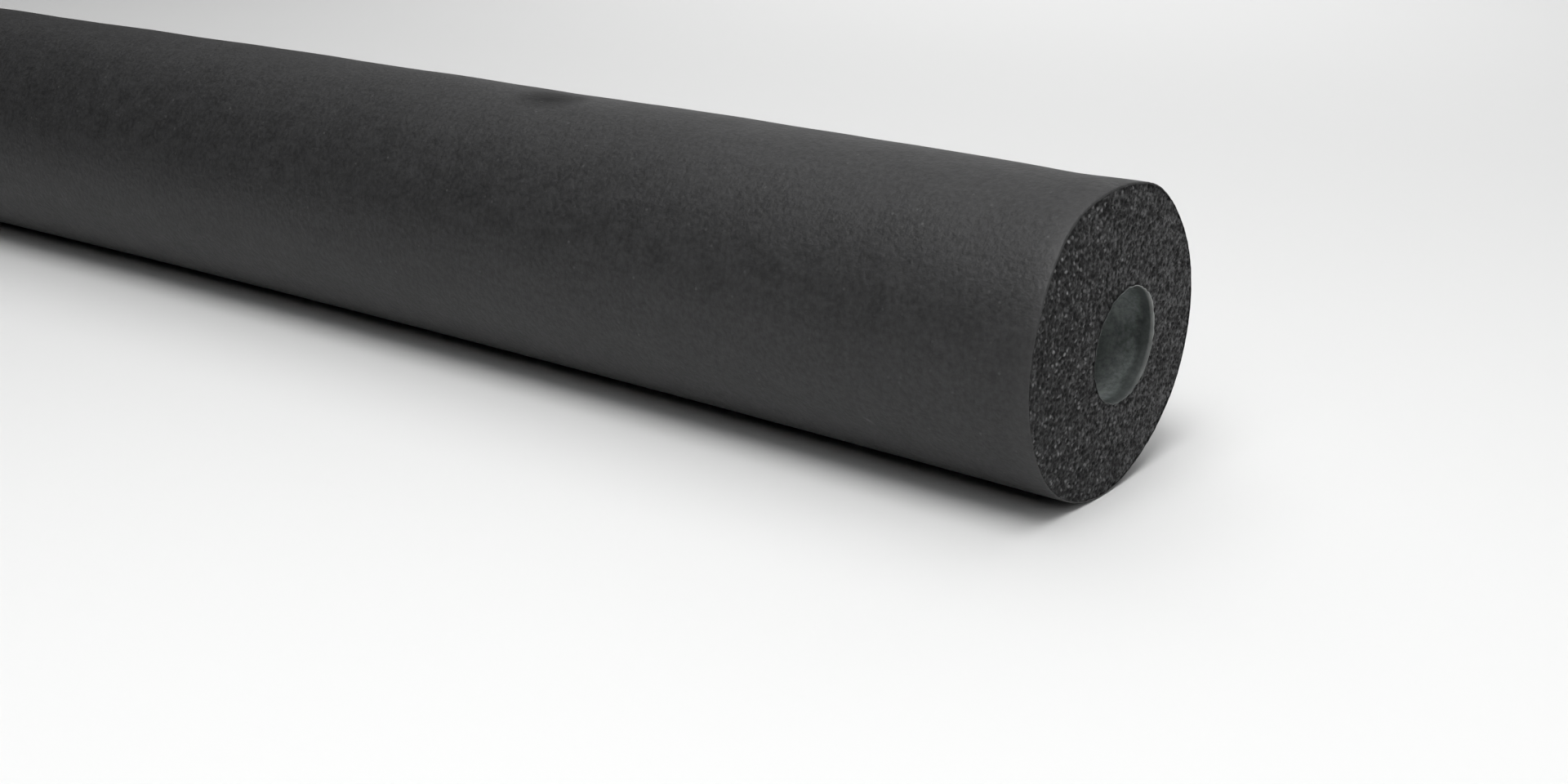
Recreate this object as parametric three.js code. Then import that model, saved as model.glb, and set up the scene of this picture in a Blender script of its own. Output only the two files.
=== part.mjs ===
// One length of pipe lagging: a thick-walled tube of closed-cell rubber foam, extruded in one piece
// and cut off square at both ends. It lies on its side with a slight bow, as soft stock does.
//
// Millimetres, +Z up. The tube lies along X, and the cut end that shows is the one at +X. Its bow
// is one even arc, level with the floor, with both ends swung towards -Y. The origin is at the
// centre of the tube's bounding box, on the floor.
import * as THREE from "three";

// The pipe that the tube slides over, and the play that the bore leaves around it.
const pipeDiameter = 28;
const boreClearance = 2;

const wallThickness = 25;
const tubeLength = 1000;
const bowRadius = 8000;

// The bore of this tube runs off centre: to the outer side of the bow, and a little low.
const boreShiftOut = 4.7;
const boreShiftDown = 1.4;

// The round shapes and the bow are cut into flats of at most this width and length.
const flatWidth = 2.5;
const flatLength = 85;

const boreRadius = (pipeDiameter + boreClearance) / 2;
const outsideRadius = boreRadius + wallThickness;

// The middle line of the tube, from the shown end (t = 0) to the hidden one (t = 1).
class LaggingLine extends THREE.Curve {
  turnAt(t) {
    return ((t - 0.5) * tubeLength) / bowRadius;
  }

  getPoint(t, target = new THREE.Vector3()) {
    const turn = this.turnAt(t);
    return target.set(-bowRadius * Math.sin(turn), -bowRadius * (1 - Math.cos(turn)), 0);
  }

  getTangent(t, target = new THREE.Vector3()) {
    const turn = this.turnAt(t);
    return target.set(-Math.cos(turn), -Math.sin(turn), 0);
  }
}

// A ring of points with a flat, and not a corner, on each axis, so that the tube lies on a flat.
function ringPoints(radius, middle) {
  const flats = 4 * Math.ceil((2 * Math.PI * radius) / flatWidth / 4);
  const points = [];
  for (let i = 0; i < flats; i++) {
    const angle = ((i + 0.5) / flats) * 2 * Math.PI;
    points.push(new THREE.Vector2(middle.x + radius * Math.cos(angle), middle.y + radius * Math.sin(angle)));
  }
  return points;
}

// The tube's section. Swept along the line, its x points down and its y points to the bow's inner side.
function laggingSection() {
  const boreMiddle = new THREE.Vector2(boreShiftDown, -boreShiftOut);
  const section = new THREE.Shape(ringPoints(outsideRadius, new THREE.Vector2(0, 0)));
  section.holes.push(new THREE.Path(ringPoints(boreRadius, boreMiddle)));
  return section;
}

function laggingTube() {
  const geometry = new THREE.ExtrudeGeometry(laggingSection(), {
    steps: Math.ceil(tubeLength / flatLength),
    extrudePath: new LaggingLine(),
  });
  const foamRubber = new THREE.MeshStandardMaterial({ color: 0x3a3b3b, roughness: 0.75, metalness: 0 });
  const tube = new THREE.Mesh(geometry, foamRubber);
  tube.name = "lagging_tube";
  return tube;
}

const tube = laggingTube();
const box = new THREE.Box3().setFromObject(tube);
const middle = box.getCenter(new THREE.Vector3());
tube.position.set(-middle.x, -middle.y, -box.min.z);

const lagging = new THREE.Group();
lagging.add(tube);

export default lagging;
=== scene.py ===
# %% [markdown]
# # A length of pipe lagging
#
# Pipe lagging is a thick tube of black foam rubber that slides over a heating pipe to keep its
# warmth in. This one is cut off square, and it lies on its side with a slight bow.
#
# The solid tube of the CAD model already has the right sizes, but it is plain: flat facets, and
# cut ends as smooth as glass. This script puts a finely made tube in the same place. First it loads
# the CAD model, and reads the size of the tube from its box.

# %% Load the solid tube
import math

import bmesh
import bpy
from mathutils import Matrix, Vector, noise


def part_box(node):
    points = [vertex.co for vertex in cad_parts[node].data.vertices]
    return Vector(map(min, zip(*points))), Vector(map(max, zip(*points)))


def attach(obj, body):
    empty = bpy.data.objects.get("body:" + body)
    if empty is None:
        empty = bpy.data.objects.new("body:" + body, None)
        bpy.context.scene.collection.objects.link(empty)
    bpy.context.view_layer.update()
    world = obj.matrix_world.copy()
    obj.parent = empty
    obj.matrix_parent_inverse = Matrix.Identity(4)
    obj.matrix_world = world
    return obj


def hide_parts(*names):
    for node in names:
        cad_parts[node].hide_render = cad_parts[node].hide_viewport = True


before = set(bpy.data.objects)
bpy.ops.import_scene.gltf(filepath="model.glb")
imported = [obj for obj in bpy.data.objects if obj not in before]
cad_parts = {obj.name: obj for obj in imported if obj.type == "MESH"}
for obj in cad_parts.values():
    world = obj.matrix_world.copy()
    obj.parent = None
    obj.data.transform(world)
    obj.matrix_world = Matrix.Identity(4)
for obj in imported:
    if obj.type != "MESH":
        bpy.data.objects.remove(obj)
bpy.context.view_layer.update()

# %% [markdown]
# ## The sizes
#
# Everything is in metres, with Z up and the tube lying along X. Its thickness comes from the solid's
# own box. The bow is part of a large circle around a point on the -Y side, level with the floor, so
# a place on the tube is given by how far it is along that circle, and where it is in the section.

# %% Sizes of the tube
low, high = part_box("lagging_tube")
OUTSIDE_RADIUS = (high.z - low.z) / 2
BORE_RADIUS = 0.015
TUBE_LENGTH = 1.0
BOW_RADIUS = 8.0

# The bore lies to the outer side of the bow, and a little low.
BORE_OUT = 0.0047
BORE_DOWN = 0.0014

HALF_TURN = TUBE_LENGTH / BOW_RADIUS / 2
BOW_CENTRE = Vector((0, high.y - OUTSIDE_RADIUS - BOW_RADIUS, OUTSIDE_RADIUS))
print("outside radius", round(OUTSIDE_RADIUS, 5), "bow centre", BOW_CENTRE)

# %% [markdown]
# ## The two cut ends
#
# Each end is drawn flat around the origin, where it is easy to think about, and a matrix then puts
# it in its place. The matrix turns the drawing so that its X points across the tube, its Y up and
# its Z straight out of the end.

# %% Where the ends are
def end_matrix(side):
    """Puts a flat drawing on an end: side is 1 for the end that shows, and -1 for the hidden one."""
    out = Vector((side * math.cos(HALF_TURN), -math.sin(HALF_TURN), 0))
    up = Vector((0, 0, 1))
    across = up.cross(out)
    middle = BOW_CENTRE + BOW_RADIUS * Vector((side * math.sin(HALF_TURN), math.cos(HALF_TURN), 0))
    turned = Matrix((across, up, out)).transposed().to_4x4()
    return Matrix.Translation(middle) @ turned


SHOWN_END = end_matrix(1)
HIDDEN_END = end_matrix(-1)
print("middle of the shown end", SHOWN_END.translation)

# %% [markdown]
# ## Where a point is in the section
#
# Marks on the tube are easiest to place by how far along it they are, and where around the section.
# One function goes from a place in the room to such a place in the tube, and one goes back.

# %% Tube places
def tube_place(point):
    """Distance from the shown end, across to the outer side of the bow, and up from the middle."""
    arm = point - BOW_CENTRE
    turn = math.atan2(arm.x, arm.y)
    return (HALF_TURN - turn) * BOW_RADIUS, arm.xy.length - BOW_RADIUS, arm.z


def room_place(along, across, height):
    """The place in the room of a point that is given by these three distances."""
    turn = HALF_TURN - along / BOW_RADIUS
    reach = BOW_RADIUS + across
    return BOW_CENTRE + Vector((reach * math.sin(turn), reach * math.cos(turn), height))


def skin_place(along, angle):
    """The place in the room of a point on the outside, with the angle in degrees: 90 is on top."""
    turned = math.radians(angle)
    return room_place(along, OUTSIDE_RADIUS * math.cos(turned), OUTSIDE_RADIUS * math.sin(turned))


print("top of the tube, halfway along", skin_place(TUBE_LENGTH / 2, 90))

# %% [markdown]
# ## The camera
#
# The camera stands low and close, a little beyond the shown end, and looks along the tube and down.
# Its place, turn and focal length were found by moving them until the outline of the tube fell on
# the outline in the photograph, so they are kept as measured sizes from the shown end.

# %% Camera
CAMERA_FROM_END = Vector((0.1694, -0.3933))
CAMERA_HEIGHT = 0.1823
CAMERA_TURN = math.radians(34.05)
CAMERA_PITCH = math.radians(20.15)
CAMERA_LENS = 42.15

camera_data = bpy.data.cameras.new("camera")
camera_data.lens = CAMERA_LENS
camera_data.clip_start = 0.01
camera = bpy.data.objects.new("camera", camera_data)
camera.location = (SHOWN_END.translation.xy + CAMERA_FROM_END).to_3d()
camera.location.z = CAMERA_HEIGHT
camera.rotation_euler = (math.pi / 2 - CAMERA_PITCH, 0, CAMERA_TURN)
bpy.context.scene.collection.objects.link(camera)
bpy.context.scene.camera = camera
print("camera at", camera.location)

# %% [markdown]
# ## Floor and light
#
# The tube is shown in a studio, on a pale floor that fills the whole picture. Black rubber has hardly
# any colour of its own: what the eye reads on it is the soft light from above, the light that the
# floor throws back from below, and the dark where the two meet. So the surroundings are kept dark,
# and large soft lamps hang above. Most keep near the shown end, which lets the far end fall into
# shade, and a wide one low at the back draws the pale line along the top of the tube. A weak one
# beyond the shown end shines into the bore, and one with a narrow beam lights the floor at the back.

# %% Floor
FLOOR_SIZE = 12.0
FLOOR_COLOUR = (0.82, 0.823, 0.82)

floor_shape = bmesh.new()
bmesh.ops.create_grid(floor_shape, x_segments=1, y_segments=1, size=FLOOR_SIZE / 2)
floor_mesh = bpy.data.meshes.new("floor")
floor_shape.to_mesh(floor_mesh)
floor_shape.free()

floor = bpy.data.objects.new("floor", floor_mesh)
bpy.context.scene.collection.objects.link(floor)

floor_paint = bpy.data.materials.new("pale_floor")
floor_paint.use_nodes = True
floor_shader = floor_paint.node_tree.nodes["Principled BSDF"]
floor_shader.inputs["Base Color"].default_value = (*FLOOR_COLOUR, 1)
floor_shader.inputs["Roughness"].default_value = 0.7
floor_shader.inputs["Specular IOR Level"].default_value = 0.2
floor_mesh.materials.append(floor_paint)
print("floor", FLOOR_SIZE, "m wide")

# %% Lamps
def add_softbox(name, place, aim, size, power, beam=180):
    """A square soft lamp at a place, turned to shine at another place, with its beam in degrees."""
    lamp_data = bpy.data.lights.new(name, "AREA")
    lamp_data.size = size
    lamp_data.energy = power
    lamp_data.spread = math.radians(beam)
    lamp = bpy.data.objects.new(name, lamp_data)
    lamp.location = place
    lamp.rotation_euler = (Vector(aim) - Vector(place)).to_track_quat("-Z", "Y").to_euler()
    bpy.context.scene.collection.objects.link(lamp)
    print(name, "at", place)


add_softbox("ceiling", (0.5, 0.2, 2.2), (0.5, 0.2, 0), 3.0, 16)
add_softbox("over_tube", (0.3, 0.2, 1.0), (0.3, 0.1, 0), 1.0, 2.6)
add_softbox("over_front", (0.55, -0.35, 0.9), (0.5, -0.05, 0), 0.5, 4.8)
add_softbox("front_light", (0.6, -0.7, 0.9), (0.55, -0.1, 0), 0.8, 3.5)
add_softbox("back_light", (-0.3, 1.8, 0.7), (0.1, 0, 0.05), 2.0, 10.5)
add_softbox("end_light", (1.6, 0.2, 0.45), (0.5, 0, 0.04), 0.7, 2.5)
add_softbox("far_light", (-0.8, 0.6, 1.2), (-0.3, 0.3, 0), 0.8, 1.3)
add_softbox("over_back", (0.05, 1.05, 1.0), (0.05, 1.05, 0), 1.0, 1.3, beam=60)

surroundings = bpy.data.worlds.new("surroundings")
surroundings.use_nodes = True
surroundings.node_tree.nodes["Background"].inputs["Color"].default_value = (1, 1, 1, 1)
surroundings.node_tree.nodes["Background"].inputs["Strength"].default_value = 0.0
bpy.context.scene.world = surroundings
bpy.context.scene.view_settings.view_transform = "Standard"

# %% [markdown]
# ## A short way to write materials
#
# A material is a net of nodes joined by links. Written out by hand, each node takes several lines,
# and the sums in between are lost in them. The class below wraps one output of a node. Python's own
# + - * on it add Math nodes, so a sum of patterns reads as a sum, and every other kind of node comes
# from one method, which sets the node up first and then joins its inputs.

# %% Node helper
class Wire:
    """One output of a node. Sums with it add Math nodes to the same material."""

    def __init__(self, socket):
        self.socket = socket

    def node(self, kind, inputs, output=0, **settings):
        """Adds a node, gives it its settings and then its inputs, and returns one of its outputs."""
        tree = self.socket.id_data
        made = tree.nodes.new("ShaderNode" + kind)
        for name, value in settings.items():
            setattr(made, name, value)
        for name, value in inputs.items():
            if isinstance(value, Wire):
                tree.links.new(value.socket, made.inputs[name])
            else:
                made.inputs[name].default_value = value
        return Wire(made.outputs[output])

    def maths(self, operation, first, second):
        return self.node("Math", {0: first, 1: second}, operation=operation)

    def __add__(self, other):
        return self.maths("ADD", self, other)

    def __radd__(self, other):
        return self.maths("ADD", other, self)

    def __sub__(self, other):
        return self.maths("SUBTRACT", self, other)

    def __rsub__(self, other):
        return self.maths("SUBTRACT", other, self)

    def __mul__(self, other):
        return self.maths("MULTIPLY", self, other)

    def __rmul__(self, other):
        return self.maths("MULTIPLY", other, self)

    def between(self, low, high):
        """0 below low, 1 above high, and even in between."""
        return self.node("MapRange", {"Value": self, "From Min": low, "From Max": high})

    def cloud(self, size, detail=2, rough=0.5):
        """Soft random patches of about this size, from 0 to 1, in the place that this wire gives."""
        inputs = {"Vector": self, "Scale": 1 / size, "Detail": detail, "Roughness": rough}
        return self.node("TexNoise", inputs)

    def mixed(self, first, second):
        """The first colour where this is 0, and the second where it is 1."""
        first = first if isinstance(first, Wire) else (*first, 1)
        second = second if isinstance(second, Wire) else (*second, 1)
        inputs = {"Factor": self, 6: first, 7: second}
        return self.node("Mix", inputs, output=2, data_type="RGBA", clamp_factor=True)


def start_material(name):
    """A new material, its shader, and the place on the piece, in metres."""
    material = bpy.data.materials.new(name)
    material.use_nodes = True
    shader = material.node_tree.nodes["Principled BSDF"]
    place = Wire(material.node_tree.nodes.new("ShaderNodeTexCoord").outputs["Object"])
    return material, shader, place


def axis(place, letter):
    """One of the three numbers of a place: X, Y or Z."""
    return place.node("SeparateXYZ", {"Vector": place}, output=letter)


def feed(shader, **wires):
    """Joins wires to the shader's inputs: Base_Color is the input Base Color."""
    for name, wire in wires.items():
        shader.id_data.links.new(wire.socket, shader.inputs[name.replace("_", " ")])

# %% [markdown]
# ## The skin of the tube
#
# The foam swells against the wall of its mould, and gets a thin closed skin there. The skin is dark
# and satin, with a fine grain like the peel of an orange, faint streaks along the tube, and pale
# specks of dust. The grain is far too fine for a mesh, so it is a bump on the material, while the
# slow rise and fall of the wall is in the mesh, where the outline shows it. Two marks are painted on:
# a darker, duller patch on top, whose dark is painted shade of the dent there, and a short pale nick
# low on the side.
#
# Close to a cut the skin is painted a little paler: a painted highlight, where the rounded corner of
# the skin catches the light. How deep a point lies behind the nearest cut is worked out from its
# place: both ends lean alike, so the sign of X drops out, and what is left is the distance to one plane.

# %% Random cells
def random_cells(place, size, flat=False):
    """A net of random cells: how far a point is from the middle of its cell, and the cell's lot."""
    dimensions = "2D" if flat else "3D"
    net = {"Vector": place, "Scale": 1 / size, "Randomness": 1.0}
    distance = place.node("TexVoronoi", net, output="Distance", voronoi_dimensions=dimensions)
    colour = place.node("TexVoronoi", net, output="Color", voronoi_dimensions=dimensions)
    lot = place.node("SeparateColor", {"Color": colour}, output="Red")
    return distance, lot


# %% Marks on the skin
# Where the darker, duller patch lies: its dark is painted shade of the dent there.
DENT_PATCH_PLACE = skin_place(0.182, 95)
DENT_PATCH_SIZE = (0.014, 0.009, 0.009)
NICK_FROM = skin_place(0.0497, -150.6)
NICK_TO = skin_place(0.0465, -147.7)
NICK_SIZE = (0.0023, 0.0015, 0.0006)
ALONG_TUBE = Vector((1, 0, 0))
print("scuff at", DENT_PATCH_PLACE, "nick", round((NICK_TO - NICK_FROM).length * 1000, 1), "mm long")


def oval(place, middle, direction, size):
    """1 in the middle of an oval, fading to 0 at its edge. The first size is along the direction."""
    inputs = {"Vector": place, "Location": middle, "Scale": size}
    inputs["Rotation"] = direction.to_track_quat("X", "Z").to_euler()
    local = place.node("Mapping", inputs, vector_type="TEXTURE")
    away = local.node("VectorMath", {0: local}, output="Value", operation="LENGTH")
    return 1 - away.between(0, 1)


# %% Depth behind a cut
CUT_NORMAL = SHOWN_END.col[2].xyz
CUT_DISTANCE = SHOWN_END.translation.dot(CUT_NORMAL)
print("plane of the cut", round(CUT_DISTANCE, 4), "m from the origin")


def depth_in(place):
    """How far a point lies behind the plane of the nearest cut end."""
    along = place.node("Math", {0: axis(place, "X")}, operation="ABSOLUTE")
    return CUT_DISTANCE - CUT_NORMAL.x * along - CUT_NORMAL.y * axis(place, "Y")


# %% Outer skin
GRAIN_SIZE = 0.0014
BLOTCH_SIZE = 0.006
PATCH_SIZE = 0.05
STREAK_WIDTH = 0.0025
STREAK_STRETCH = 10
SPECK_SPACING = 0.003
EDGE_HIGHLIGHT_WIDTH = 0.008
GRAIN_RELIEF = 0.0003

RUBBER_DARK = (0.0138, 0.0138, 0.0142)
RUBBER_PALE = (0.0318, 0.0318, 0.0326)
# A painted highlight at the cut.
CUT_EDGE_HIGHLIGHT = (0.06, 0.06, 0.06)
# Painted shade of the dent, on a duller patch.
DENT_PATCH_SHADE = (0.006, 0.006, 0.006)
DUST = (0.12, 0.12, 0.12)


def outer_skin():
    """Black rubber with grain, streaks and dust, a painted highlight at the cut, a darker, duller patch
    of painted dent shade, and the nick.
    """
    material, shader, place = start_material("outer_skin")
    grain = place.cloud(GRAIN_SIZE, detail=3, rough=0.55)
    blotch = place.cloud(BLOTCH_SIZE, detail=3, rough=0.55)
    patch = place.cloud(PATCH_SIZE)
    drawn = place.node("Mapping", {"Vector": place, "Scale": (1 / STREAK_STRETCH, 1, 1)})
    streak = drawn.cloud(STREAK_WIDTH, detail=3, rough=0.6)
    tone = (0.55 * grain + 0.2 * blotch + 0.15 * streak + 0.1 * patch).between(0.38, 0.62)
    distance, lot = random_cells(place, SPECK_SPACING)
    speck = 0.45 * lot.between(0.6, 1.0) * (1 - distance.between(0.04, 0.18))
    nick = 0.6 * oval(place, (NICK_FROM + NICK_TO) / 2, NICK_TO - NICK_FROM, NICK_SIZE)
    # The darker, duller patch on top: painted shade of the dent, with rougher skin.
    dull_dent_shade = oval(place, DENT_PATCH_PLACE, ALONG_TUBE, DENT_PATCH_SIZE) * (0.5 + streak)
    # A painted highlight along the cut, where the rounded corner of the skin catches the light.
    edge_highlight = 0.3 * (1 - depth_in(place).between(0.0, EDGE_HIGHLIGHT_WIDTH))
    clean = edge_highlight.mixed(tone.mixed(RUBBER_DARK, RUBBER_PALE), CUT_EDGE_HIGHLIGHT)
    feed(shader, Base_Color=(speck + nick).mixed(dull_dent_shade.mixed(clean, DENT_PATCH_SHADE), DUST))
    feed(shader, Roughness=0.25 * blotch + 0.4 * dull_dent_shade + 0.45)
    shader.inputs["Specular IOR Level"].default_value = 0.4
    height = 0.85 * grain + 0.15 * blotch
    bump = place.node("Bump", {"Strength": 1.0, "Distance": GRAIN_RELIEF, "Height": height})
    feed(shader, Normal=bump)
    return material

# %% [markdown]
# ## The skin of the bore
#
# The core that keeps the bore open leaves a skin of its own, greyer and greener than the outside
# from the powder that stops it from sticking. At the mouth the knife has left a thin lip, which is
# painted pale as a painted highlight, and behind it is a band of painted shade. Deeper in, the grey is
# painted paler as painted light, and low in the mouth of the shown end a pale patch is a painted
# reflection.

# %% The mouth of the bore
def bore_place(along, angle):
    """The place in the room of a point on the wall of the bore, with the angle in degrees."""
    turned = math.radians(angle)
    across = BORE_OUT + BORE_RADIUS * math.cos(turned)
    return room_place(along, across, -BORE_DOWN + BORE_RADIUS * math.sin(turned))


MOUTH_MIDDLE = room_place(0, BORE_OUT, -BORE_DOWN)
# Where the pale patch of painted reflection lies, low in the mouth.
REFLECTION_PLACE = bore_place(0.0095, -78)
REFLECTION_SIZE = (0.005, 0.004, 0.004)
print("powder heaped at", REFLECTION_PLACE)

# %% Skin of the bore
BORE_BLOTCH = 0.0022
BORE_PATCH = 0.009
BORE_FLECK = 0.0009
BORE_RELIEF = 0.0004

# Where each zone behind the cut begins and ends to fade into the next.
LIP_FADE = (0.0008, 0.0015)
SHADE_BAND_FADE = (0.0052, 0.007)
SHADE_BAND_WANDER = 0.004
DEPTH_LIGHT_FADE = (0.003, 0.014)

# The painted highlight on the lip is strongest up and out, and these are measured from the middle of the
# mouth.
LIP_HIGHLIGHT_UP = (-0.013, 0.006)
LIP_HIGHLIGHT_OUT = (-0.006, 0.010)

# Below: the deep greys are painted light, the band grey painted shade, the pale grey after it a painted
# reflection, and the lip grey a painted highlight.
MOUTH_GREYS = ((0.07, 0.081, 0.078), (0.22, 0.247, 0.24))
DEEP_PAINTED_LIGHT_GREYS = ((0.185, 0.205, 0.198), (0.45, 0.48, 0.47))
BAND_SHADE_GREY = (0.029, 0.032, 0.031)
REFLECTION_GREY = (0.42, 0.44, 0.43)
LIP_HIGHLIGHT_GREY = (0.38, 0.39, 0.38)


def bore_skin():
    """Powdered skin: a lip with a painted highlight, a band of painted shade behind it, then grey that
    is painted paler with depth, as painted light.
    """
    material, shader, place = start_material("bore_skin")
    blotch = place.cloud(BORE_BLOTCH, detail=4, rough=0.7)
    patch = place.cloud(BORE_PATCH, detail=3)
    fleck = place.cloud(BORE_FLECK, detail=3, rough=0.6)
    tone = (0.4 * blotch + 0.3 * patch + 0.3 * fleck).between(0.4, 0.62)
    depth = depth_in(place)
    # Paler with depth: painted light deep in the bore, over the mottled powder.
    powder_and_depth_light = depth.between(*DEPTH_LIGHT_FADE).mixed(tone.mixed(*MOUTH_GREYS), tone.mixed(*DEEP_PAINTED_LIGHT_GREYS))
    # A band of painted shade just behind the mouth.
    shade_band = 0.7 * (1 - (depth + SHADE_BAND_WANDER * patch).between(*SHADE_BAND_FADE))
    # A pale patch low in the mouth: a painted reflection.
    reflection_spot = oval(place, REFLECTION_PLACE, ALONG_TUBE, REFLECTION_SIZE) * (blotch + 0.1)
    with_reflection = reflection_spot.mixed(shade_band.mixed(powder_and_depth_light, BAND_SHADE_GREY), REFLECTION_GREY)
    # The pale lip is a painted highlight, strongest up and out.
    upper = (axis(place, "Z") - MOUTH_MIDDLE.z).between(*LIP_HIGHLIGHT_UP)
    outer = (axis(place, "Y") - MOUTH_MIDDLE.y).between(*LIP_HIGHLIGHT_OUT)
    lip = (1 - depth.between(*LIP_FADE)) * (0.5 + 0.5 * blotch) * (0.15 + 0.85 * (upper * outer))
    feed(shader, Base_Color=lip.mixed(with_reflection, LIP_HIGHLIGHT_GREY))
    feed(shader, Roughness=0.2 * blotch + 0.42)
    bump = place.node("Bump", {"Strength": 0.5, "Distance": BORE_RELIEF, "Height": blotch})
    feed(shader, Normal=bump)
    return material

# %% [markdown]
# ## The cut foam
#
# The knife opens thousands of small round cells. What shows is a net of thin walls around pits that
# stay dark, and here and there a torn wall that lies just so and catches the light. The pits are real
# relief in the mesh, made further down, and each point of that mesh carries a number called wall: 0
# at the bottom of a pit, 1 on top of a wall. From that number the pits are painted dark, as painted
# shade, and the tops of the walls paler, as painted highlight. The glints of the torn walls are much
# finer, so they are painted highlights in random cells of the material, of which only some are pale.

# %% Cut foam
FOAM_FINE = 0.0008
FOAM_COARSE = 0.0018
FOAM_PATCH = 0.012
FOAM_RELIEF = 0.0002
GLINT_SPACING = 0.0017

# The near side has darker walls and more painted glints: from where to where that fades in.
NEAR_SIDE = (0.015, -0.03)
# The pit colour is painted shade, the wall colours painted highlight, and the last one a painted glint.
PIT_SHADE = (0.003, 0.003, 0.0032)
FAR_WALL_LIGHT = (0.16, 0.16, 0.162)
NEAR_WALL_LIGHT = (0.088, 0.088, 0.089)
GLINT_GREY = (0.25, 0.25, 0.253)


def cut_foam():
    """Painted highlight on the walls and painted shade in the pits, from the relief of the mesh, and
    painted glints among them.
    """
    material, shader, place = start_material("cut_foam")
    wall = place.node("Attribute", {}, output="Fac", attribute_name="wall")
    lot = place.node("Attribute", {}, output="Fac", attribute_name="lot")
    fine = place.cloud(FOAM_FINE, detail=3, rough=0.6)
    coarse = place.cloud(FOAM_COARSE, detail=2, rough=0.5)
    # Pits painted dark as painted shade and wall tops paler as painted highlight, with random tone.
    net = (0.3 + 0.7 * wall) * fine.between(0.3, 0.68) * (0.35 + 0.65 * coarse.between(0.4, 0.6))
    near_side = axis(place, "Y").between(*NEAR_SIDE)
    colour = net.mixed(PIT_SHADE, near_side.mixed(FAR_WALL_LIGHT, NEAR_WALL_LIGHT))
    on_face = place.node("CombineXYZ", {"X": axis(place, "Y"), "Y": axis(place, "Z")})
    # Pale dots in random cells: painted glints on torn walls.
    distance, chance = random_cells(on_face, GLINT_SPACING, flat=True)
    patch = place.cloud(FOAM_PATCH).between(0.38, 0.62)
    dots = (1 - distance.between(0.12, 0.36)) * (0.5 + 0.5 * patch)
    glint = chance.between(0.4, 1.0) * dots * (0.35 + 0.65 * lot) * (0.4 + 1.1 * near_side)
    feed(shader, Base_Color=glint.mixed(colour, GLINT_GREY))
    feed(shader, Roughness=0.75 - 0.3 * glint)
    shader.inputs["Specular IOR Level"].default_value = 0.18
    bump = place.node("Bump", {"Strength": 0.6, "Distance": FOAM_RELIEF, "Height": fine})
    feed(shader, Normal=bump)
    return material


OUTER_SKIN = outer_skin()
BORE_SKIN = bore_skin()
CUT_FOAM = cut_foam()
print("materials", [m.name for m in (OUTER_SKIN, BORE_SKIN, CUT_FOAM)])

# %% [markdown]
# ## The tube
#
# A straight tube could be a drawn-out circle. This one is bowed, so its section is spun instead: two
# rings of edges, one for the outside and one for the bore, turn around the far centre of the bow and
# leave a wall behind them. The stretch near the shown end gets shorter steps than the rest, because
# it is seen from close by and carries the small marks.

# %% Spun walls
SPOKES = 240
EDGE_LENGTH = 0.004
STRETCHES = ((EDGE_LENGTH, 4), (0.246, 96), (0.746, 56), (EDGE_LENGTH, 4))


def bore_middle(side):
    """Where the middle of the bore is in the drawing of an end."""
    return Vector((side * BORE_OUT, -BORE_DOWN, 0))


def spun_walls():
    """Spins the two circles of the section from the shown end to the hidden one."""
    shape = bmesh.new()
    bmesh.ops.create_circle(shape, segments=SPOKES, radius=OUTSIDE_RADIUS)
    inner = bmesh.ops.create_circle(shape, segments=SPOKES, radius=BORE_RADIUS)
    bmesh.ops.translate(shape, verts=inner["verts"], vec=bore_middle(1))
    bmesh.ops.transform(shape, matrix=SHOWN_END, verts=shape.verts)
    section = shape.edges[:]
    for length, steps in STRETCHES:
        spun = bmesh.ops.spin(
            shape, geom=section, cent=BOW_CENTRE, axis=(0, 0, 1), angle=length / BOW_RADIUS, steps=steps,
        )
        section = [part for part in spun["geom_last"] if isinstance(part, bmesh.types.BMEdge)]
    return shape


tube = spun_walls()
print("spun faces", len(tube.faces), "open edges", sum(e.is_boundary for e in tube.edges))

# %% [markdown]
# ## Closing the ends
#
# At a cut end the skin shows as a thin flat edge around the foam. Each open ring of edges is extruded
# a few times: once across the end for the edge of the skin, once straight back into the tube, and
# from the outside once more inwards, where it meets the ring that comes from the bore. That leaves a
# ring-shaped seat for the cut foam. Then the corner of the skin is rounded with a bevel, more on the
# outside than at the lip of the bore.

# %% Rings
SKIN_EDGE = 0.0005
SKIN_ROUNDING = 0.0004
LIP_EDGE = 0.0003
LIP_ROUNDING = 0.0002
SEAT_DEPTH = 0.003
SEAT_RADIUS = OUTSIDE_RADIUS - SKIN_EDGE
SEAT_BORE = BORE_RADIUS + LIP_EDGE
MID_WALL = (OUTSIDE_RADIUS + BORE_RADIUS) / 2
SAME_PLACE = 1e-6
ON_PLANE = 1e-5
print("seat of the cut foam, radius", round(SEAT_BORE, 5), "to", round(SEAT_RADIUS, 5))

# The places of the three materials in the tube's list.
SKIN = 0
BORE = 1
FOAM = 2


def draw_ring(shape, ring, matrix, factor=1.0, move=(0, 0, 0)):
    """Extrudes a ring of edges, scales and moves the new ring as in the drawing, and returns it."""
    made = bmesh.ops.extrude_edge_only(shape, edges=ring)["geom"]
    points = [part for part in made if isinstance(part, bmesh.types.BMVert)]
    change = Matrix.Translation(move) @ Matrix.Diagonal((factor, factor, 1, 1))
    bmesh.ops.transform(shape, matrix=matrix @ change @ matrix.inverted(), verts=points)
    for part in made:
        if isinstance(part, bmesh.types.BMFace):
            part.material_index = FOAM
    return [part for part in made if isinstance(part, bmesh.types.BMEdge) and part.is_boundary]


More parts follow.
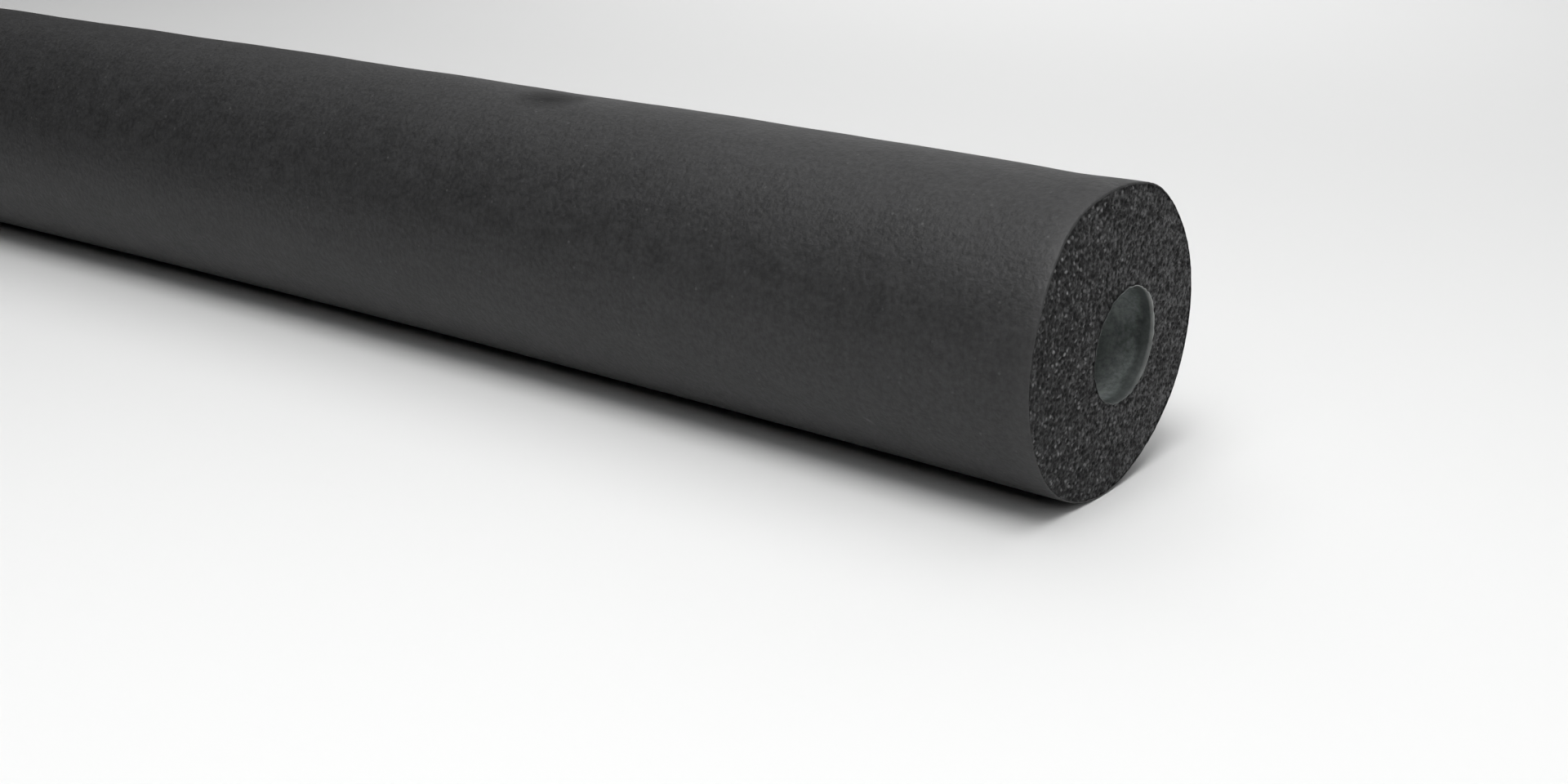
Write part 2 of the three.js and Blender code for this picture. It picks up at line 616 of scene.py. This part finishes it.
def open_ring(shape, matrix, outer):
    """The open edges at one end that belong to the outside, or to the bore."""
    to_drawing = matrix.inverted()
    ring = []
    for edge in shape.edges:
        spot = to_drawing @ edge.verts[0].co
        on_end = edge.is_boundary and abs(spot.z) < ON_PLANE
        if on_end and (spot.xy.length > MID_WALL) == outer:
            ring.append(edge)
    return ring


# %% Ends
def close_end(shape, matrix, side):
    """Closes one end with edges of skin around a seat for the cut foam."""
    outer = open_ring(shape, matrix, True)
    bore = open_ring(shape, matrix, False)
    back = (0, 0, -SEAT_DEPTH)
    wider = SEAT_BORE / BORE_RADIUS
    lip = draw_ring(shape, bore, matrix, wider, (1 - wider) * bore_middle(side))
    draw_ring(shape, lip, matrix, move=back)
    edge = draw_ring(shape, outer, matrix, SEAT_RADIUS / OUTSIDE_RADIUS)
    seat = draw_ring(shape, edge, matrix, move=back)
    draw_ring(shape, seat, matrix, SEAT_BORE / SEAT_RADIUS, bore_middle(side))
    bmesh.ops.remove_doubles(shape, verts=shape.verts, dist=SAME_PLACE)
    for corner, rounding, finish in ((outer, SKIN_ROUNDING, SKIN), (bore, LIP_ROUNDING, BORE)):
        rounded = bmesh.ops.bevel(
            shape, geom=[e for e in corner if e.is_valid], affect="EDGES", offset=rounding,
            offset_type="OFFSET", segments=4, profile=0.5, material=-1,
        )
        for face in rounded["faces"]:
            face.material_index = finish


for face in tube.faces:
    middle = face.calc_center_median() - BOW_CENTRE
    from_middle = math.hypot(middle.xy.length - BOW_RADIUS, middle.z)
    face.material_index = SKIN if from_middle > MID_WALL else BORE
close_end(tube, SHOWN_END, 1)
close_end(tube, HIDDEN_END, -1)
bmesh.ops.recalc_face_normals(tube, faces=tube.faces)
print("tube faces", len(tube.faces), "open edges", sum(e.is_boundary for e in tube.edges))

# %% [markdown]
# ## The unevenness of soft foam
#
# One function says how far the outside stands in or out at a place, and all pieces use it, so they
# keep fitting each other. Most of it is slow random waves. A few marks of this very tube are added:
# its cut end is pressed flat low at the back, its upper edge dips and flares out again, and a knock
# has left a small dent on top. The knife did not go through quite square, pulled the mouth of the
# bore a little narrower on one side, and left it frayed.
#
# Each mark is given as how far out it stands, at what angle of the section its middle is, and how
# wide it is, in degrees.

# %% Sizes of the waves and marks
WAVE_DEPTH = 0.0004
WAVE_SIZE = 0.055
WAVE_START = Vector((3.1, 0, 0))
RIPPLE_SIZE = 0.3 * WAVE_SIZE
RIPPLE_START = Vector((0, 7.7, 0))

BULGE = (0.0003, -115, 30)
PRESSED = (-0.0010, -60, 28)
PRESSED_LENGTH = 0.05
SUNK = (-0.0003, 66, 25)
SUNK_LENGTH = 0.3
DIP = (-0.0007, 66, 25)
DIP_PLACE = 0.018
DIP_LENGTH = 0.014
FLARE = (0.0009, 64, 14)
FLARE_LENGTH = 0.004
DENT = (-0.0006, 92, 7)
DENT_PLACE = 0.180
DENT_LENGTH = 0.007

# %% Waves and marks of the outside
ROLLED_IN = 0.0006
ROLLED_LENGTH = 0.0026
ROLLED_MOST = math.radians(75)
RAGGED_EDGE = 0.00025
RAGGED_SIZE = 0.0016
RAGGED_LENGTH = 0.0005


def fade(distance, length):
    """1 at no distance, and fading away over about the length."""
    return math.exp(-distance / length)


def hump(value, middle, width):
    """1 at the middle, and fading to 0 over the width on both sides."""
    return math.exp(-(((value - middle) / width) ** 2))


def around(angle, mark):
    """How far out a mark stands at an angle of the section."""
    push, middle, width = mark
    away = (angle - middle + 180) % 360 - 180
    return push * hump(away, 0, width)


def outside_push(along, angle):
    """How far the outside stands proud of a true cylinder, with the angle in degrees."""
    turned = math.radians(angle)
    ring = Vector((along, OUTSIDE_RADIUS * math.cos(turned), OUTSIDE_RADIUS * math.sin(turned)))
    slow = noise.noise(ring / WAVE_SIZE + WAVE_START)
    small = noise.noise(ring / RIPPLE_SIZE + RIPPLE_START)
    above_floor = min(1, 1 + math.sin(turned))
    push = WAVE_DEPTH * (slow + 0.35 * small - 0.4) * above_floor
    push += fade(along, PRESSED_LENGTH) * (around(angle, BULGE) + around(angle, PRESSED))
    push += fade(along, SUNK_LENGTH) * around(angle, SUNK)
    push += hump(along, DIP_PLACE, DIP_LENGTH) * around(angle, DIP)
    push += fade(along, FLARE_LENGTH) * around(angle, FLARE)
    push += hump(along, DENT_PLACE, DENT_LENGTH) * around(angle, DENT)
    from_cut = min(along, TUBE_LENGTH - along)
    rolled = ROLLED_IN * (0.6 + 0.4 * math.cos(turned - ROLLED_MOST))
    ragged = RAGGED_EDGE * noise.noise(ring / RAGGED_SIZE)
    return push - rolled * fade(from_cut, ROLLED_LENGTH) + ragged * fade(from_cut, RAGGED_LENGTH)


print("outside at the dent", round(outside_push(DENT_PLACE, DENT[1]) * 1000, 2), "mm")

# %% Mouth of the bore and lean of the cut
FRAYED = 0.0005
FRAYED_SIZE = 0.0018
FRAYED_LENGTH = 0.0007
FRAYED_RING = 0.0008
PINCHED = 0.0011
PINCHED_LENGTH = 0.004
PINCHED_RING = 0.003
CUT_LEAN = 0.0009
WORN_TOP = (0.0016, 120, 22)
WORN_LOW = (0.0008, -122, 22)
SET_BACK_LENGTH = 0.02


def mouth_change(along, across, height):
    """How much wider than a true circle the bore is near its mouths, frayed and pinched there."""
    from_cut = min(along, TUBE_LENGTH - along)
    spoke = Vector((across - BORE_OUT, height + BORE_DOWN))
    from_bore = abs(spoke.length - BORE_RADIUS)
    frayed = FRAYED * noise.noise(Vector((along, across, height)) / FRAYED_SIZE)
    frayed *= fade(from_cut, FRAYED_LENGTH) * fade(from_bore, FRAYED_RING)
    pinched = PINCHED * max(0, (spoke.y - spoke.x) / spoke.length)
    return frayed - pinched * fade(from_cut, PINCHED_LENGTH) * fade(from_bore, PINCHED_RING)


def set_back(along, across, angle, share):
    """How far the shown cut lies behind a square one: it leans, and its near corners are worn."""
    lean = CUT_LEAN * (OUTSIDE_RADIUS - across) / (2 * OUTSIDE_RADIUS)
    worn = around(angle, WORN_TOP) + around(angle, WORN_LOW)
    return (lean + share * share * worn) * fade(along, SET_BACK_LENGTH)


# %% Softened tube
SETTLED_SHIFT = 0.0015
SETTLED_STRETCH = 0.022
SETTLED_LENGTH = 0.12


def soften(shape):
    """Moves every point of a piece by the unevenness of the foam where it is."""
    for vertex in shape.verts:
        along, across, height = tube_place(vertex.co)
        radius = math.hypot(across, height)
        share = max(0, (radius - BORE_RADIUS) / (OUTSIDE_RADIUS - BORE_RADIUS))
        angle = math.degrees(math.atan2(height, across))
        grow = 1 + share * outside_push(along, angle) / radius
        across, height = across * grow, height * grow
        from_bore = math.hypot(across - BORE_OUT, height + BORE_DOWN)
        wider = 1 + mouth_change(along, across, height) / from_bore
        across = BORE_OUT + (across - BORE_OUT) * wider
        height = -BORE_DOWN + (height + BORE_DOWN) * wider
        settled = (SETTLED_SHIFT + SETTLED_STRETCH * across) * fade(along, SETTLED_LENGTH)
        back = set_back(along, across, angle, share)
        vertex.co = room_place(along + back, across + settled, height)


soften(tube)
print("softened points", len(tube.verts))

# %% [markdown]
# ## The cut faces
#
# Each cut end is a shallow ring-shaped plate of foam that sits in its seat. Its front is a fine mesh:
# two circles are bridged by a ring of faces, and the spokes between them are subdivided until a face
# is a quarter of a millimetre. Then every point of the front is lowered by a cell pattern. In a
# Voronoi pattern each point knows its nearest seed, which is the middle of a cell, so the depth is a
# round bowl around each seed, and what is left between the bowls is the net of walls.

# %% Cell pattern
CELL_SIZE = 0.0012
CELL_DEPTH = 0.0005
CELL_WARP = 0.3
KNIFE_WAVE = 0.0001
KNIFE_WAVE_SIZE = 0.011

# Shares of a cell: the radius of the smallest bowl, and how much more the largest has.
BOWL_SIZE = 0.45
BOWL_SPREAD = 0.25
WALL_RISE = 1.6

# noise_vector starts from random offsets, which are taken from the clock unless a seed is set.
NOISE_SEED = 5
noise.seed_set(NOISE_SEED)
print("cells", round(CELL_SIZE * 1000, 2), "mm wide, up to", round(CELL_DEPTH * 1000, 2), "mm deep")


def cell_relief(point, seed):
    """Depth of the foam under the knife's plane, and how much of a wall is here, from 0 to 1."""
    place = point / CELL_SIZE + Vector((0, 0, seed))
    warped = place + CELL_WARP * noise.noise_vector(0.8 * place)
    distances, seeds = noise.voronoi(warped)
    lot = 0.5 + 0.5 * noise.cell(seeds[0] * 7.3)
    bowl = max(0.0, 1 - (distances[0] / (BOWL_SIZE + BOWL_SPREAD * lot)) ** 2)
    wall = min(1.0, max(0.0, 1 - WALL_RISE * bowl))
    rough = noise.noise(place * 2.7)
    depth = CELL_DEPTH * (0.3 + 0.7 * lot) * bowl + 0.1 * CELL_DEPTH * (rough + 1)
    wave = KNIFE_WAVE * (noise.noise(point / KNIFE_WAVE_SIZE) + 1)
    return depth + wave, wall, lot


# %% Cut faces
CELL_SPOKES = 900
CELL_RINGS = 90
PLATE_GAP = 0.00002
PLATE_BACK_GAP = 0.0002


def cut_face_shape(side, seed):
    """A ring-shaped plate, flat around the origin with its front at height 0, and its cells."""
    shape = bmesh.new()
    wall_layer = shape.verts.layers.float.new("wall")
    lot_layer = shape.verts.layers.float.new("lot")
    flat = Matrix()
    outer, inner = SEAT_RADIUS - PLATE_GAP, SEAT_BORE + PLATE_GAP
    bmesh.ops.create_circle(shape, segments=CELL_SPOKES, radius=outer)
    outer_ring = shape.edges[:]
    inner_ring = draw_ring(shape, outer_ring, flat, inner / outer, bore_middle(side))
    spokes = [edge for edge in shape.edges if not edge.is_boundary]
    bmesh.ops.subdivide_edges(shape, edges=spokes, cuts=CELL_RINGS - 1)
    front = shape.verts[:]
    back = (0, 0, PLATE_BACK_GAP - SEAT_DEPTH)
    draw_ring(shape, inner_ring, flat, move=back)
    outer_back = draw_ring(shape, outer_ring, flat, move=back)
    draw_ring(shape, outer_back, flat, inner / outer, bore_middle(side))
    bmesh.ops.remove_doubles(shape, verts=shape.verts, dist=SAME_PLACE)
    bmesh.ops.recalc_face_normals(shape, faces=shape.faces)
    for vertex in front:
        depth, vertex[wall_layer], vertex[lot_layer] = cell_relief(vertex.co, seed)
        vertex.co.z = -depth
    # The plate has one material alone, so each face takes the first of its list.
    for face in shape.faces:
        face.material_index = 0
    return shape


# %% Finished pieces
SHARP_ANGLE = math.radians(50)


def finished(name, shape, materials):
    """Turns a shape into a smooth piece that stands in for the plain tube."""
    for face in shape.faces:
        face.smooth = True
    for edge in shape.edges:
        edge.smooth = edge.calc_face_angle(0) < SHARP_ANGLE
    mesh = bpy.data.meshes.new(name)
    shape.to_mesh(mesh)
    shape.free()
    for material in materials:
        mesh.materials.append(material)
    piece = bpy.data.objects.new(name, mesh)
    bpy.context.scene.collection.objects.link(piece)
    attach(piece, "root")
    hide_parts("lagging_tube")
    print(name, "triangles", sum(len(p.vertices) - 2 for p in mesh.polygons))


for name, matrix, side, seed in (
    ("cut_face_shown", SHOWN_END, 1, 11.0), ("cut_face_hidden", HIDDEN_END, -1, 47.0),
):
    plate = cut_face_shape(side, seed)
    bmesh.ops.transform(plate, matrix=matrix, verts=plate.verts)
    soften(plate)
    finished(name, plate, [CUT_FOAM])


finished("foam_tube", tube, [OUTER_SKIN, BORE_SKIN, CUT_FOAM])
